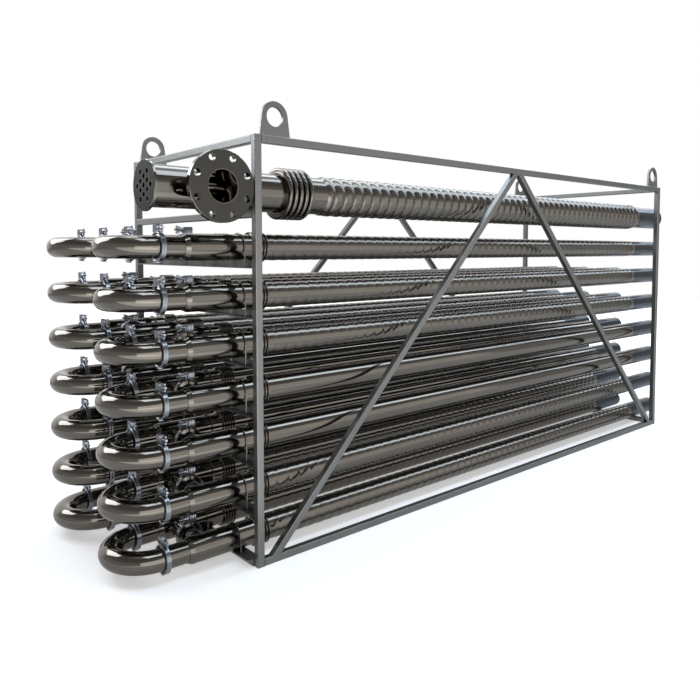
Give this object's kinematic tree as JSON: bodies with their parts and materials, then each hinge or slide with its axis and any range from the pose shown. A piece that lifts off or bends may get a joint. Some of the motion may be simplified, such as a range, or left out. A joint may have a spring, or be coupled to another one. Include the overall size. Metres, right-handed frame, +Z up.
{
  "type": "tube-in-tube heat exchanger",
  "caption": "Long welded frame holding a bank of jacketed product tubes with clamped return bends at the front, and a flanged header with a corrugated shell above.",
  "frame": {"origin": "centre of the part's footprint, on the floor", "axes": "+X from the return bends along the tubes to the open rear ends, +Y away from the flanged nozzle's side, +Z up"},
  "size_m": [3.3259, 0.92, 1.4879],
  "materials": {
    "frame_steel": "satin grey steel of the frame, its welded corners dressed flat",
    "brushed_stainless": "bright rolled stainless tube with soft long reflections",
    "cast_stainless": "cast stainless, bluish and slightly rough",
    "zinc_fasteners": "zinc plated fasteners",
    "machined_stainless": "turned stainless faces"
  },
  "bodies": {
    "root": {"bend_clamps": "cast_stainless", "bottom_beam_front": "frame_steel", "bottom_beam_rear": "frame_steel", "bottom_rail_far": "frame_steel", "bottom_rail_near": "frame_steel", "bottom_tube_support": "frame_steel", "brace_front_far": "frame_steel", "brace_front_near": "frame_steel", "brace_rear_far": "frame_steel", "brace_rear_near": "frame_steel", "clamp_bolts": "zinc_fasteners", "crossover_clamps": "cast_stainless", "header_beam": "frame_steel", "header_bellows": "brushed_stainless", "header_front_pipe": "brushed_stainless", "header_front_tube_sheet": "machined_stainless", "header_rear_pipe": "brushed_stainless", "header_rear_tube_sheet": "machined_stainless", "header_shell": "brushed_stainless", "header_tubes": "brushed_stainless", "inner_tubes": "brushed_stainless", "jacket_bellows": "brushed_stainless", "jacket_end_rings": "brushed_stainless", "jacket_fronts_1": "brushed_stainless", "jacket_fronts_2": "brushed_stainless", "jacket_fronts_3": "brushed_stainless", "jacket_fronts_4": "brushed_stainless", "jacket_fronts_5": "brushed_stainless", "jacket_fronts_6": "brushed_stainless", "jacket_fronts_7": "brushed_stainless", "jacket_shells_1": "brushed_stainless", "jacket_shells_2": "brushed_stainless", "jacket_shells_3": "brushed_stainless", "jacket_shells_4": "brushed_stainless", "jacket_shells_5": "brushed_stainless", "jacket_shells_6": "brushed_stainless", "jacket_shells_7": "brushed_stainless", "lifting_lugs_far": "frame_steel", "lifting_lugs_near": "frame_steel", "nozzle_flange": "machined_stainless", "post_front_far": "frame_steel", "post_front_near": "frame_steel", "post_rear_far": "frame_steel", "post_rear_near": "frame_steel", "return_bends_1": "brushed_stainless", "return_bends_2": "brushed_stainless", "return_bends_3": "brushed_stainless", "return_bends_4": "brushed_stainless", "return_bends_5": "brushed_stainless", "return_bends_6": "brushed_stainless", "return_bends_7": "brushed_stainless", "top_beam_front": "frame_steel", "top_beam_rear": "frame_steel", "top_rail_far": "frame_steel", "top_rail_near": "frame_steel", "tube_hoops": "zinc_fasteners", "tube_supports": "frame_steel", "wing_nuts": "zinc_fasteners"}
  },
  "joints": []
}
